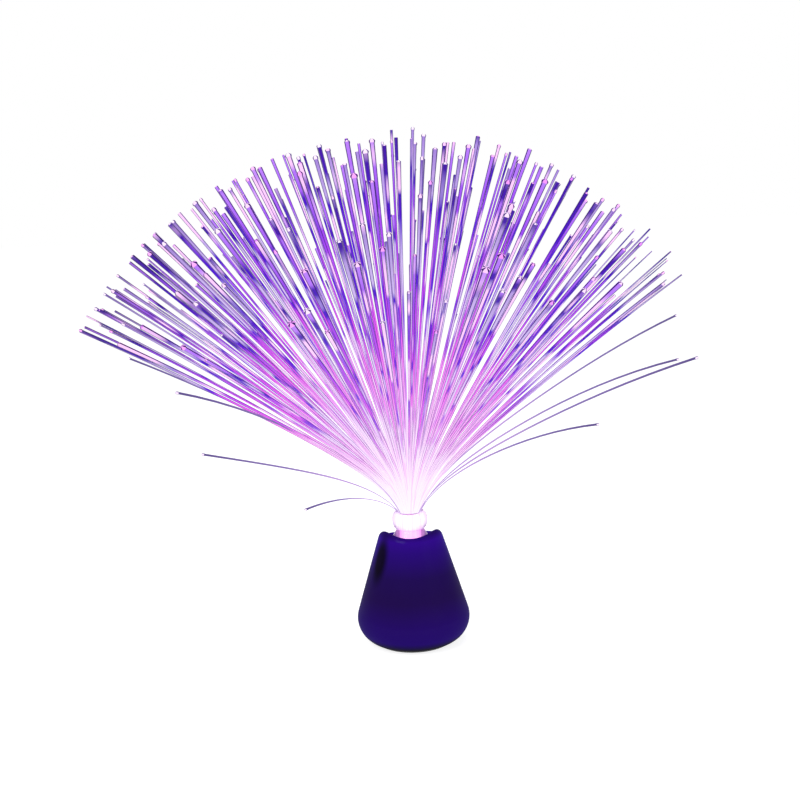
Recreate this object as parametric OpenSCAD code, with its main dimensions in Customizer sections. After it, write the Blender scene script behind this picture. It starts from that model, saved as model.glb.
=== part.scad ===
// A battery fibre optic table lamp: a tapering base with two horns on its rim, a clear collar in its
// mouth, and a spray of light fibres in a clear beaded ferrule that lifts out of the collar.
// Millimetres. The origin is the centre of the foot, +Z is up and the front faces -Y.

/* [Base shell] */
// Mean diameter of the base at its widest
base_d = 72.6; // [66:0.2:80]
// Radius of the rounded lower edge
base_fillet = 16; // [13:1:17]
// Mean outer diameter at the rim
rim_d = 38; // [36:0.2:42]
// Height above the dish floor at which the rim has its outer diameter
dish_depth = 8.2; // [7:0.2:10]
// Height of the two horns above the rim between them
horn_h = 4; // [0:0.2:7]
// Angle by which the horns stand forward of the sides
horn_turn = 20; // [0:1:30]
// Fall of the rim from the front to the back
rim_fall = 5; // [0:0.2:6]
// Height of the rim above the dish floor at the back, its lowest place
rim_low = 1.6; // [1.4:0.2:3]
// Share by which the base is wider across than from front to back, at the rim
oval = 0.02; // [0:0.01:0.06]
// Wall thickness of the shell
wall = 2; // [1.6:0.1:2.4]
// Thickness of the rounded rim
lip_w = 3.8; // [3:0.1:4]
// Height over which the rim rounds off
lip_h = 3; // [2.4:0.2:4]
// Height of the shell's lower edge above the table
shell_foot = 2; // [1.6:0.1:2.4]
// Thickness of the dish floor
floor_t = 2; // [1.6:0.1:2.6]
// Width of the shell's edge round the bottom cover
edge_w = 1; // [0.8:0.1:1.4]

/* [Bottom cover] */
// Thickness of the bottom cover
cover_t = 3; // [2.8:0.1:4]
// Height and width of the chamfer that the cover stands on
foot_chamfer = 1.6; // [1:0.1:1.8]
// Distance of the cover screws from the centre
cover_screw_r = 21; // [20.6:0.1:21.4]
// Length of a cover screw's shank
cover_screw_l = 9; // [7:0.5:11]

/* [Battery door] */
// Thickness of the battery door
door_t = 1.8; // [1.4:0.1:2]
// Height of the closed door above the table
door_lift = 0.4; // [0.3:0.1:0.6]
// Radial gap round the door
door_gap = 0.6; // [0.5:0.05:0.8]
// Width of the ledge that the door closes against
ledge_w = 1.5; // [1.2:0.1:1.8]
// Diameter of the hinge barrel
barrel_d = 2.4; // [2:0.1:2.6]
// Length of the hinge barrel
barrel_l = 8; // [6:0.5:10]
// Diameter of the hinge pins
pin_d = 1.4; // [1.2:0.1:1.6]
// Length of each hinge pin
pin_l = 1.4; // [1:0.1:2]

/* [Cells and contacts] */
// Diameter of a battery cell
cell_d = 10.5; // [10:0.1:10.8]
// Length of a battery cell, with its button
cell_l = 44.5; // [42:0.5:48]
// Diameter of a cell's button
button_d = 3.8; // [3:0.2:4.4]
// Height of a cell's button
button_h = 0.8; // [0.6:0.1:1.2]
// Radial room round a cell in its bay
bay_gap = 0.25; // [0.2:0.05:0.4]
// Thickness of the rib between two bays
rib_t = 0.6; // [0.4:0.1:1]
// Wall of the battery carrier
carrier_wall = 1.4; // [1.2:0.1:1.8]
// Thickness of the carrier's top
carrier_top_t = 1.2; // [1:0.1:2]
// Thickness of the contact plates
contact_t = 0.4; // [0.3:0.05:0.6]
// Diameter of a contact plate's round pad
pad_d = 8; // [7:0.5:9]
// Width of the bar between two pads, of the tab and of the return strip
strip_w = 3; // [2:0.5:4]
// Height of a contact spring, pressed
spring_h = 2.6; // [2.4:0.1:3.4]
// Mean diameter of a contact spring
spring_d = 5.2; // [4.6:0.2:6]
// Wire diameter of a contact spring
spring_wire = 0.45; // [0.35:0.05:0.5]
// Turns of a contact spring
spring_turns = 2.25; // [1.75:0.25:2.25]

/* [Board and light source] */
// Room between the battery carrier and the circuit board
board_gap = 0.8; // [0.7:0.1:2]
// Diameter of the circuit board
board_d = 33; // [32:0.5:34]
// Thickness of the circuit board
board_t = 1.2; // [1:0.1:1.6]
// Distance of the board screws from the centre
board_screw_r = 13.2; // [13:0.1:13.6]
// Diameter of the light source's body
led_d = 5; // [4:0.5:5]
// Height of the light source, with its dome
led_h = 8.7; // [8:0.1:10]
// Width and height of the rim round the light source's base
led_rim = 0.4; // [0.3:0.1:0.6]
// Distance between the light source's two legs
leg_pitch = 2.54; // [2:0.1:2.6]
// Diameter of a leg
leg_d = 0.5; // [0.4:0.05:0.6]
// Air gap between the light source and the bundle's end
optic_gap = 1; // [0.6:0.1:2]
// Outer diameter of the reflector cup
reflector_d = 18; // [17:0.2:18.6]
// Length of the resistor's body
resistor_l = 6; // [4:0.5:7]
// Diameter of the resistor's body
resistor_d = 2.2; // [1.6:0.1:2.4]

/* [Switch] */
// Length of the switch's can
switch_l = 9; // [8.8:0.1:10]
// Width of the switch's can
switch_w = 4.6; // [4.4:0.1:5]
// Height of the switch's can
switch_h = 4; // [3.4:0.1:5]
// Travel of the slider
switch_travel = 2.5; // [1.5:0.1:2.6]
// Length of the slider's thumb piece
thumb_l = 2.4; // [2:0.1:2.6]
// Width of the slider's thumb piece
thumb_w = 2; // [1.6:0.1:2.2]
// Height of the thumb piece's end above the table
thumb_lift = 0.6; // [0.4:0.1:1]
// Diameter of an insulated wire
wire_d = 1.2; // [0.8:0.1:1.4]

/* [Collar and ferrule] */
// Diameter of the bundle of fibres in the ferrule
bundle_d = 14.6; // [14.2:0.1:14.8]
// Wall of the ferrule's stem
stem_wall = 0.5; // [0.4:0.05:0.6]
// Length of the collar's spigot below its flange
spigot_l = 3; // [2.8:0.1:4]
// Wall of the collar's spigot
spigot_wall = 1.6; // [1.2:0.1:1.8]
// Diameter of the collar's flange
flange_d = 28; // [26:0.5:28.6]
// Thickness of the collar's flange
flange_t = 1.5; // [1:0.1:2]
// Height of the collar above the dish floor
collar_h = 9; // [8:0.2:11]
// Wall of the collar at its top
collar_wall = 0.7; // [0.6:0.1:1]
// Room between the collar's top and the bead
bead_gap = 0.2; // [0.1:0.05:0.4]
// Diameter of the bead
bead_d = 22.8; // [21:0.2:25]
// Height of the bead
bead_h = 11.3; // [10:0.1:13]
// Diameter of the bead's two pinched ends
pinch_d = 17.4; // [17.2:0.1:18]

/* [Fibres] */
// Number of fibres
fibre_count = 306; // [300:6:330]
// Diameter of a fibre
fibre_d = 0.5; // [0.4:0.02:0.52]
// Length of a fibre above the bundle's top
fibre_l = 238; // [150:1:280]
// Angle of the outermost fibres' tips from the vertical
spread = 58; // [40:1:66]
// Mean share by which fibres are shorter at the right edge, where their ends are ragged
right_trim = 0.09; // [0:0.01:0.2]
// Share by which fibres are shorter at the left edge
left_trim = 0.03; // [0:0.01:0.1]
// Angle by which the whole spray leans to the left
spray_lean = 4; // [0:0.5:6]
// Length over which a fibre bends outwards
bend_l = 25; // [15:1:40]
// Share of its tip angle at which a fibre leaves the bundle
root_share = 0.42; // [0.3:0.01:0.5]
// Extra angle by which the tips sag
sag = 4; // [0:0.5:8]
// Share by which the fibres gather into tufts
gather = 0.3; // [0:0.05:0.4]
// Number of tufts
tuft_count = 64; // [40:1:90]
// Depth of the bundle's top below the ferrule's mouth
mouth_depth = 0.8; // [0.6:0.1:1.2]

/* [Clearances] */
// Sliding clearance on the radius, for the stem in the collar and the hinge pins
slide_gap = 0.05; // [0.03:0.01:0.08]
// Loose clearance round fitted pieces
fit_gap = 0.2; // [0.15:0.01:0.25]

/* [Hidden] */
$fn = 64;
eps = 0.01;

// Directions round the axis: the cells, and the screws between them
cell_dirs = [90, 210, 330];
screw_dirs = [30, 150, 270];

// Heights, from the table up
door_top = door_lift + door_t;
contact_top = door_top + contact_t;
cell_seat = contact_top + spring_h;
cell_head = cell_seat + cell_l;
carrier_bore_top = cell_head + contact_t;
carrier_top = carrier_bore_top + carrier_top_t;
board_z = carrier_top + board_gap;
board_top = board_z + board_t;
led_top = board_top + led_h;
stem_z = led_top + optic_gap;
dish_z = stem_z + spigot_l;
ceiling_z = dish_z - floor_t;
rim_z = dish_z + dish_depth;
collar_top = dish_z + collar_h;
bead_z = collar_top + bead_gap;
mouth_z = bead_z + bead_h;
bundle_top = mouth_z - mouth_depth;
mouth_edge = 0.5;

// Radii of the neck
stem_bore_r = bundle_d / 2 + fit_gap / 2;
stem_r = stem_bore_r + stem_wall;
collar_bore_r = stem_r + slide_gap;
spigot_r = collar_bore_r + spigot_wall;
hole_r = spigot_r + fit_gap / 2;

// Radii of the battery bay and its door
bay_r = cell_d / 2 + bay_gap;
cell_ring_r = (2 * bay_r + rib_t) / sqrt(3);
bay_reach = cell_ring_r + bay_r;
ledge_r = bay_reach + ledge_w / 2;
door_hole_r = ledge_r + ledge_w;
door_r = door_hole_r - door_gap;
hinge_x = door_hole_r + barrel_d / 4;
hinge_z = door_lift + door_t / 2;
slot_x = hinge_x + barrel_d / 2 + fit_gap;

// Screws: a pan head with a cross, and a plain shank in a pilot hole
screw_r = 1.2;
head_r = 2.3;
head_h = 1.2;
cross_w = 0.6;
cross_depth = 0.7;
pilot_r = screw_r + slide_gap;
boss_r = 2.8;
screw_room = 1.5;
boss_h = cover_screw_l + screw_room;
web_up = 2;
board_boss_r = 2.5;
head_lift = 0.3;

// The base's outline: a lower fillet, then a straight flank that meets it and the rim
fillet_r = base_d / 2 - base_fillet;
flank_run = [rim_d / 2 - fillet_r, rim_z - base_fillet];
flank = atan2(flank_run[1], flank_run[0]) - acos(base_fillet / norm(flank_run));
tangent_z = base_fillet * (1 + sin(flank));
tangent_r = fillet_r + base_fillet * cos(flank);
oval_power = 0.8;
horn_power = 4;
rim_edge = 0.2;
side_count = 48;

function mean_r(z, inset = 0) = z < tangent_z
    ? fillet_r + sqrt(max(0, pow(base_fillet - inset, 2) - pow(z - base_fillet, 2)))
    : tangent_r - (z - tangent_z) * tan(flank) - inset / cos(flank);
function swell(z, dir) = oval * pow(max(0, z) / rim_z, oval_power) * cos(2 * dir);
function shell_r(z, dir, inset = 0) = mean_r(z) * (1 + swell(z, dir)) - mean_r(z) + mean_r(z, inset);
function horn(dir) = pow(max(0, cos(dir - 180 - horn_turn)), horn_power)
    + pow(max(0, cos(dir + horn_turn)), horn_power);
function rim_at(dir) = dish_z + rim_low + rim_fall * (1 - sin(dir)) / 2 + horn_h * horn(dir);
function lip_rise(dir) = min(lip_h, rim_at(dir) - dish_z - rim_edge);

foot_open_r = mean_r(shell_foot) - edge_w;
cover_r = foot_open_r - fit_gap;
foot_r = cover_r - foot_chamfer * 1.4;
foot_land = 0.6;
foot_cut = 1;
inner_foot_r = foot_open_r + foot_land - fillet_r;
inner_foot_z = base_fillet - sqrt(pow(base_fillet - wall, 2) - pow(inner_foot_r, 2));

// One upright section of the shell, from its lower edge up the outside, over the lip,
// across the dish and down the inside
fillet_steps = 7;
flank_steps = 5;
lip_steps = 7;
function outer_points(dir) = let (start = asin((shell_foot - base_fillet) / base_fillet),
    lip_z = rim_at(dir) - lip_rise(dir)) concat(
    [for (k = [0 : fillet_steps - 1]) let (a = start + (flank - start) * k / fillet_steps,
        z = base_fillet * (1 + sin(a))) [shell_r(z, dir), z]],
    [for (k = [0 : flank_steps]) let (z = tangent_z + (lip_z - tangent_z) * k / flank_steps)
        [shell_r(z, dir), z]]);
function lip_points(dir) = let (rise = lip_rise(dir), lip_z = rim_at(dir) - rise,
    middle = shell_r(lip_z, dir) - lip_w / 2)
    [for (k = [1 : lip_steps]) let (a = 180 * k / lip_steps)
        [middle + lip_w / 2 * cos(a) - rise * sin(a) * tan(flank), lip_z + rise * sin(a)]];
function inner_points(dir) = let (dish_r = shell_r(dish_z, dir) - lip_w) concat(
    [[dish_r, dish_z], [hole_r - 1, dish_z], [hole_r - 1, ceiling_z]],
    [for (k = [0 : 3]) let (z = ceiling_z + (tangent_z - ceiling_z) * k / 3)
        [shell_r(z, dir, wall), z]],
    [for (k = [1 : 3]) let (z = tangent_z + (inner_foot_z - tangent_z) * pow(k / 3, 0.7))
        [shell_r(z, dir, wall), z]],
    [[foot_open_r - foot_cut, inner_foot_z], [foot_open_r - foot_cut, shell_foot]]);
function section(dir) = concat(outer_points(dir), lip_points(dir), inner_points(dir));

// A closed skin through rings of points. Each ring is one section, and the last ring joins the first.
module ring_of_sections(sections) {
    n = len(sections);
    m = len(sections[0]);
    polyhedron([for (s = sections) each s],
        [for (i = [0 : n - 1], j = [0 : m - 1]) let (a = i * m, b = ((i + 1) % n) * m, k = (j + 1) % m)
            each [[a + j, a + k, b + j], [b + j, a + k, b + k]]], 4);
}

// A closed tube through a list of rings, with flat ends
function tube_faces(rings, sides, first = 0) = let (last = first + (rings - 1) * sides) concat(
    [for (j = [1 : sides - 2]) [first, first + j, first + j + 1]],
    [for (i = [0 : rings - 2], j = [0 : sides - 1]) let (a = first + i * sides, k = (j + 1) % sides)
        each [[a + j, a + sides + j, a + k], [a + k, a + sides + j, a + sides + k]]],
    [for (j = [1 : sides - 2]) [last, last + j + 1, last + j]]);

module screw(shank_l) {
    difference() {
        union() {
            cylinder(r = head_r, h = head_h);
            cylinder(r = screw_r, h = head_h + shank_l);
        }
        for (turn = [0, 90]) rotate(turn)
            translate([-head_r * 0.7, -cross_w / 2, -eps]) cube([head_r * 1.4, cross_w, cross_depth]);
    }
}

// The moulded shell, with its screw bosses and the bosses that carry the board
module base_shell() {
    color("indigo") difference() {
        union() {
            ring_of_sections([for (i = [0 : side_count - 1]) let (dir = 360 * i / side_count)
                [for (p = section(dir)) [p[0] * cos(dir), p[0] * sin(dir), p[1]]]]);
            for (dir = screw_dirs) rotate(dir) {
                translate([cover_screw_r, 0, cover_t]) cylinder(r = boss_r, h = boss_h);
                translate([cover_screw_r, -wall / 2, cover_t + web_up])
                    cube([shell_r(cover_t + web_up, dir) - cover_screw_r - wall / 2, wall, boss_h - web_up]);
                translate([board_screw_r, 0, board_top])
                    cylinder(r = board_boss_r, h = ceiling_z + floor_t / 2 - board_top);
            }
        }
        translate([0, 0, -eps]) cylinder(r = foot_open_r, h = cover_t + eps);
        translate([0, 0, ceiling_z - 1]) cylinder(r = hole_r, h = floor_t + 2);
        for (dir = screw_dirs) rotate(dir) {
            translate([cover_screw_r, 0, 0]) cylinder(r = pilot_r, h = cover_t + boss_h - 1);
            translate([board_screw_r, 0, board_z]) cylinder(r = pilot_r, h = board_screw_l + 1);
        }
    }
}

// The disc that closes the base, with the door's opening, the switch's slot and three screw wells
well_h = head_h + head_lift;
module bottom_cover() {
    color("#101014") difference() {
        rotate_extrude() polygon([[0, 0], [foot_r, 0], [cover_r, foot_chamfer],
            [cover_r, cover_t], [0, cover_t]]);
        translate([0, 0, -eps]) cylinder(r = ledge_r, h = cover_t + 2 * eps);
        translate([0, 0, -eps]) cylinder(r = door_hole_r, h = door_top + eps);
        hinge_slot();
        latch_notch();
        for (dir = screw_dirs) rotate(dir) translate([cover_screw_r, 0, -eps]) {
            cylinder(r = screw_r + fit_gap, h = cover_t + 2 * eps);
            cylinder(r = head_r + fit_gap, h = well_h + eps);
        }
        translate([0, switch_y, cover_t / 2])
            cube([thumb_l + switch_travel + 2 * fit_gap, thumb_w + 2 * fit_gap, cover_t + 1], center = true);
    }
}
module hinge_slot() {
    translate([ledge_r - 1, -barrel_l / 2 - fit_gap, -eps])
        cube([slot_x - ledge_r + 1, barrel_l + 2 * fit_gap, cover_t + 1]);
    translate([hinge_x, 0, hinge_z]) rotate([90, 0, 0])
        cylinder(r = pin_d / 2 + slide_gap, h = barrel_l + 2 * pin_l + 4 * fit_gap, center = true);
}
notch_w = 8;
notch_l = 3;
notch_out = 1.6;
tongue_l = 2;
tongue_gap = 1;
module latch_notch() {
    translate([-door_hole_r - notch_out, -notch_w / 2, -eps]) cube([notch_l, notch_w, door_top + eps]);
}

module cover_screws() {
    color("silver") for (dir = screw_dirs) rotate(dir)
        translate([cover_screw_r, 0, head_lift]) screw(cover_screw_l);
}

// The battery door, with its hinge barrel, two pins and a finger tab
module battery_door() {
    color("#18181c") union() {
        translate([0, 0, door_lift]) cylinder(r = door_r, h = door_t);
        translate([hinge_x - barrel_d, -barrel_l / 2, door_lift]) cube([barrel_d, barrel_l, door_t]);
        translate([hinge_x, 0, hinge_z]) rotate([90, 0, 0]) {
            cylinder(r = min(barrel_d / 2, hinge_z), h = barrel_l, center = true);
            cylinder(r = pin_d / 2, h = barrel_l + 2 * pin_l, center = true);
        }
        translate([-door_r - tongue_l / 2, -notch_w / 2 + tongue_gap, door_lift])
            cube([tongue_l, notch_w - 2 * tongue_gap, door_t * 0.6]);
    }
}

// Cells: the first and third stand with their buttons up, and the second with its button down
cell_edge = 0.5;
module cell() {
    body_r = cell_d / 2;
    rotate_extrude() polygon([[0, 0], [body_r - cell_edge, 0], [body_r, cell_edge],
        [body_r, cell_l - button_h - cell_edge], [body_r - cell_edge, cell_l - button_h],
        [button_d / 2, cell_l - button_h], [button_d / 2, cell_l], [0, cell_l]]);
}
module cell_place(k) {
    rotate(cell_dirs[k]) translate([cell_ring_r, 0, 0]) children();
}
module battery_1() {
    color("gold") cell_place(0) translate([0, 0, cell_seat]) cell();
}
module battery_2() {
    color("gold") cell_place(1) translate([0, 0, contact_top + cell_l]) mirror([0, 0, 1]) cell();
}
module battery_3() {
    color("gold") cell_place(2) translate([0, 0, cell_seat]) cell();
}

// The carrier: three bays side by side, closed at the top
module battery_carrier() {
    color("#202024") difference() {
        translate([0, 0, cover_t]) linear_extrude(carrier_top - cover_t)
            for (k = [0 : 2]) cell_place(k) circle(r = bay_r + carrier_wall);
        for (k = [0 : 2]) cell_place(k)
            translate([0, 0, cover_t - 1]) cylinder(r = bay_r, h = carrier_bore_top - cover_t + 1);
        bar(1, 2, carrier_bore_top - contact_t - fit_gap, contact_t + fit_gap, strip_w + 2 * fit_gap);
        strip_place() translate([-fit_gap, -strip_w / 2 - fit_gap, cover_t - 1])
            cube([contact_t + 2 * fit_gap, strip_w + 2 * fit_gap, carrier_top]);
        tab_place() translate([-fit_gap, -strip_w / 2 - fit_gap, carrier_bore_top - 1])
            cube([contact_t + 2 * fit_gap, strip_w + 2 * fit_gap, carrier_top_t + 2]);
    }
}

// Contact plates: round pads, and bars between two of them
module pad(k, z) {
    cell_place(k) translate([0, 0, z]) rotate(20) cylinder(d = pad_d, h = contact_t);
}
module bar(k, other, z, h, w) {
    a = cell_ring_r * [cos(cell_dirs[k]), sin(cell_dirs[k])];
    b = cell_ring_r * [cos(cell_dirs[other]), sin(cell_dirs[other])];
    run = b - a;
    translate([a[0], a[1], z]) rotate(atan2(run[1], run[0]))
        translate([pad_d / 4, -w / 2, 0]) cube([norm(run) - pad_d / 2, w, h]);
}
// The return strip runs up the third bay's wall, and the tab up from the first pad
module strip_place() {
    rotate(cell_dirs[2]) translate([bay_reach + fit_gap / 2, 0, 0]) children();
}
module tab_place() {
    rotate(cell_dirs[0]) translate([cell_ring_r + pad_d / 2 - 2 * contact_t, 0, 0]) children();
}
module door_contacts() {
    color("silver") {
        union() {
            pad(0, door_top);
            pad(1, door_top);
            bar(0, 1, door_top, contact_t, strip_w);
        }
        union() {
            pad(2, door_top);
            rotate(cell_dirs[2]) translate([cell_ring_r, -strip_w / 2, door_top])
                cube([bay_r + fit_gap / 2 + contact_t, strip_w, contact_t]);
        }
    }
}
module top_contacts() {
    color("silver") {
        union() {
            pad(0, cell_head);
            tab_place() translate([0, -strip_w / 2, cell_head]) cube([contact_t, strip_w, board_z - cell_head]);
        }
        union() {
            pad(1, cell_head);
            pad(2, cell_head);
            bar(1, 2, cell_head, contact_t, strip_w);
        }
    }
}
module return_strip() {
    color("silver") strip_place() translate([0, -strip_w / 2, contact_top])
        cube([contact_t, strip_w, board_z - contact_top]);
}

// Contact springs: one unbroken wire each, wound as a helix between two plates
spring_sides = 6;
spring_rings = 12;
spring_count = round(spring_turns * spring_rings);
spring_pitch = (spring_h - spring_wire) / spring_turns;
function spring_at(t) = [spring_d / 2 * cos(360 * t), spring_d / 2 * sin(360 * t),
    spring_wire / 2 + spring_pitch * t];
spring_gap = min([for (i = [0 : spring_count - 1], j = [i + spring_rings / 2 : 1 : spring_count])
    norm(spring_at(j / spring_rings) - spring_at(i / spring_rings)) - spring_wire]);
echo(str("Least gap of a contact spring to itself: ", spring_gap, " mm"));
module spring() {
    points = [for (i = [0 : spring_count]) let (t = i / spring_rings, c = spring_at(t))
        for (j = [0 : spring_sides - 1]) let (a = 360 * j / spring_sides)
            c + spring_wire / 2 * [cos(a) * cos(360 * t), cos(a) * sin(360 * t), -sin(a)]];
    polyhedron(points, tube_faces(spring_count + 1, spring_sides), 4);
}
module door_springs() {
    color("silver") for (k = [0, 2]) cell_place(k) translate([0, 0, contact_top]) spring();
}
module top_spring() {
    color("silver") cell_place(1) translate([0, 0, contact_top + cell_l]) spring();
}

// The round circuit board, its screws and what is soldered to it
module circuit_board() {
    color("seagreen") difference() {
        translate([0, 0, board_z]) cylinder(d = board_d, h = board_t);
        for (dir = screw_dirs) rotate(dir) translate([board_screw_r, 0, board_z - 1])
            cylinder(r = screw_r + fit_gap, h = board_t + 2);
        for (side = [-1, 1]) translate([side * leg_pitch / 2, 0, board_z - 1])
            cylinder(d = leg_d + fit_gap, h = board_t + 2);
        for (side = [-1, 1]) translate([side * resistor_leg_x, resistor_y, board_z - 1])
            cylinder(d = leg_d + fit_gap, h = board_t + 2);
    }
}
board_screw_l = 6;
module board_screws() {
    color("silver") for (dir = screw_dirs) rotate(dir)
        translate([board_screw_r, 0, board_z - head_h]) screw(board_screw_l);
}
module led_lamp() {
    r = led_d / 2;
    dome = [for (a = [0 : 9 : 90]) [r * cos(a), led_top - r + r * sin(a)]];
    color("white") rotate_extrude() polygon(concat([[0, board_top], [r + led_rim, board_top],
        [r + led_rim, board_top + 2 * led_rim], [r, board_top + 2 * led_rim]], dome));
}
leg_tail = 0.5;
module led_legs() {
    color("silver") for (side = [-1, 1]) translate([side * leg_pitch / 2, 0, board_z - leg_tail])
        cylinder(d = leg_d, h = board_t + leg_tail);
}
module reflector() {
    cup_top = stem_z - fit_gap;
    cup_r = bundle_d / 2;
    seat_r = led_d / 2 + led_rim + fit_gap;
    color("white") rotate_extrude() polygon([[seat_r, board_top], [reflector_d / 2, board_top],
        [reflector_d / 2, cup_top], [cup_r, cup_top], [seat_r, board_top + 2 * led_rim]]);
}
resistor_y = 12.4;
resistor_lead = 1;
resistor_leg_x = resistor_l / 2 + resistor_lead;
module resistor() {
    axis_z = board_top + resistor_d / 2 + fit_gap;
    color("tan") union() {
        translate([0, resistor_y, axis_z]) rotate([0, 90, 0])
            cylinder(d = resistor_d, h = resistor_l, center = true);
        translate([0, resistor_y, axis_z]) rotate([0, 90, 0])
            cylinder(d = leg_d, h = 2 * resistor_leg_x, center = true);
        for (side = [-1, 1]) translate([side * resistor_leg_x, resistor_y, board_z - leg_tail])
            cylinder(d = leg_d, h = axis_z - board_z + leg_tail + leg_d / 2);
    }
}

// The slide switch stands on the cover behind the door, with its slider in the cover's slot
switch_y = (door_hole_r + cover_r) / 2;
slider_l = thumb_l + 2;
slider_h = 0.9;
pocket_l = slider_l + switch_travel + 2 * fit_gap;
terminal_h = 2;
terminal_w = 0.8;
terminal_t = 0.4;
terminal_in = 1.5;
terminal_x = switch_l / 2 - terminal_in;
module switch_body() {
    color("silver") difference() {
        translate([0, switch_y, cover_t]) union() {
            translate([-switch_l / 2, -switch_w / 2, 0]) cube([switch_l, switch_w, switch_h]);
            for (side = [-1, 0, 1])
                translate([side * terminal_x - terminal_w / 2, -terminal_t / 2, switch_h])
                    cube([terminal_w, terminal_t, terminal_h]);
        }
        translate([0, switch_y, cover_t - eps]) translate([-pocket_l / 2, -thumb_w / 2 - fit_gap, 0])
            cube([pocket_l, thumb_w + 2 * fit_gap, slider_h + 2 * fit_gap + eps]);
    }
}
module switch_knob() {
    color("black") translate([switch_travel / 2, switch_y, 0]) union() {
        translate([-thumb_l / 2, -thumb_w / 2, thumb_lift])
            cube([thumb_l, thumb_w, cover_t + fit_gap - thumb_lift + eps]);
        translate([-slider_l / 2, -thumb_w / 2, cover_t + fit_gap]) cube([slider_l, thumb_w, slider_h]);
    }
}

// Two insulated wires rise from the switch's terminals to the board's underside
wire_rings = 10;
wire_sides = 8;
wire_bow = 1.2;
wire_board_r = board_d / 2 - 1.5;
wire_bend = 1.5;
module wire(side) {
    low = [side * terminal_x, switch_y, cover_t + switch_h + terminal_h];
    high = [side * terminal_x * 0.6, sqrt(pow(wire_board_r, 2) - pow(terminal_x * 0.6, 2)), board_z];
    route = concat([low], [for (k = [0 : wire_rings]) let (t = k / wire_rings)
        low + [0, 0, wire_bend] + t * (high - low - [0, 0, 2 * wire_bend])
            + wire_bow * sin(180 * t) * [side, 0, 0]], [high]);
    points = [for (p = route, j = [0 : wire_sides - 1]) let (a = 360 * j / wire_sides)
        p + wire_d / 2 * [cos(a), sin(a), 0]];
    polyhedron(points, tube_faces(len(route), wire_sides), 4);
}
module switch_wires() {
    color("firebrick") for (side = [-1, 1]) wire(side);
}

// The clear collar: a flange in the dish, a spigot through its floor and a hollow flare above
module light_collar() {
    top_r = collar_bore_r + collar_wall;
    flare_r = flange_d / 2 - 1;
    rise = collar_h - flange_t;
    flare = [for (share = [0 : 0.1 : 1.001])
        [flare_r - (flare_r - top_r) * pow(share, 0.9), dish_z + flange_t + rise * share]];
    color([1, 0.85, 1, 0.5]) rotate_extrude() polygon(concat([[collar_bore_r, stem_z], [spigot_r, stem_z],
        [spigot_r, dish_z], [flange_d / 2, dish_z], [flange_d / 2, dish_z + flange_t]], flare,
        [[collar_bore_r, collar_top]]));
}

// The clear ferrule: a stem in the collar, and a round bead pinched at both ends
module fibre_ferrule() {
    swell_r = (bead_d - pinch_d) / 2;
    bead = [for (a = [0 : 10 : 180]) [pinch_d / 2 + swell_r * sin(a), bead_z + bead_h * (1 - cos(a)) / 2]];
    mouth_r = pinch_d / 2 - stem_wall / 2;
    color([1, 0.85, 1, 0.5]) rotate_extrude() polygon(concat([[stem_bore_r, stem_z], [stem_r, stem_z],
        [stem_r, bead_z]], bead, [[mouth_r, mouth_z], [stem_bore_r, bundle_top - mouth_edge]]));
}

// Fibres. Each leaves the bundle at its own place in a sunflower pattern, and bends outwards to
// its own direction, so that inner fibres stay inside outer ones. Directions are held as a
// vector in the plan view whose length is the tip's angle from the vertical.
golden = 137.508;
// Loose fibres at the edge of the spray: the fibre's number, its direction round the axis, tip
// angle, share of the fibres' length, and sag
strays = [[292, 184, 78, 0.56, 0], [305, 176, 105, 0.27, 12], [300, 208, 54, 0.73, 20],
    [297, 158, 66, 0.94, 6], [301, 352, 64, 0.55, 21], [288, 5, 60, 0.83, 20], [293, 335, 60, 0.87, 11],
    [296, 25, 62, 1, 11], [299, 77, 62, 0.93, 7], [302, 125, 63, 0.9, 6]];
function stray(k) = let (row = search(k, strays)) len(row) > 0 ? strays[row[0]] : undef;
function wobble(k, step) = let (x = k * step) 2 * (x - floor(x)) - 1;
function fan_angle(share) = acos(1 - share * (1 - cos(spread)));
function fan_vector(k, count) = fan_angle((k + 0.5) / count) * [cos(golden * k), sin(golden * k)];
tufts = [for (k = [0 : tuft_count - 1]) fan_vector(k, tuft_count)];
function nearest_tuft(v) = let (gaps = [for (t = tufts) norm(t - v)]) tufts[search(min(gaps), gaps)[0]];
function tip_vector(k) = let (s = stray(k), v = fan_vector(k, fibre_count)) is_undef(s)
    ? v + gather * (nearest_tuft(v) - v) + [wobble(k, 0.7549) - spray_lean, wobble(k, 0.5698)]
    : s[2] * [cos(s[1]), sin(s[1])];
function tip_dir(k) = let (v = tip_vector(k)) atan2(v[1], v[0]);
function trim_at(k) = let (x = tip_vector(k)[0] / spread) left_trim * pow(min(0, x), 2)
    + right_trim * pow(max(0, x), 2) * (1 + 0.67 * wobble(k, 0.3247));
function length_at(k) = let (s = stray(k)) fibre_l * (is_undef(s)
    ? (1 + 0.02 * wobble(k, 0.6180)) * (1 - trim_at(k)) : s[3]);
function sag_at(k) = let (s = stray(k)) is_undef(s) ? sag * norm(tip_vector(k)) / spread : s[4];

// The bundle is cut into a core and two sleeves, each with its own third of the fibres, which
// stand in by a fibre's radius from both sides of their sleeve
third = fibre_count / 3;
strand_gap = 0.05;
edge_room = fibre_d / 2 + strand_gap;
root_scale = (bundle_d / 2 - 5 * edge_room) / sqrt(fibre_count);
function root_r(k) = root_scale * sqrt(k + 0.5) + 2 * edge_room * floor(k / third);
function sleeve_r(part) = root_scale * sqrt(part * third) + (2 * part - 1) * edge_room;

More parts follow.
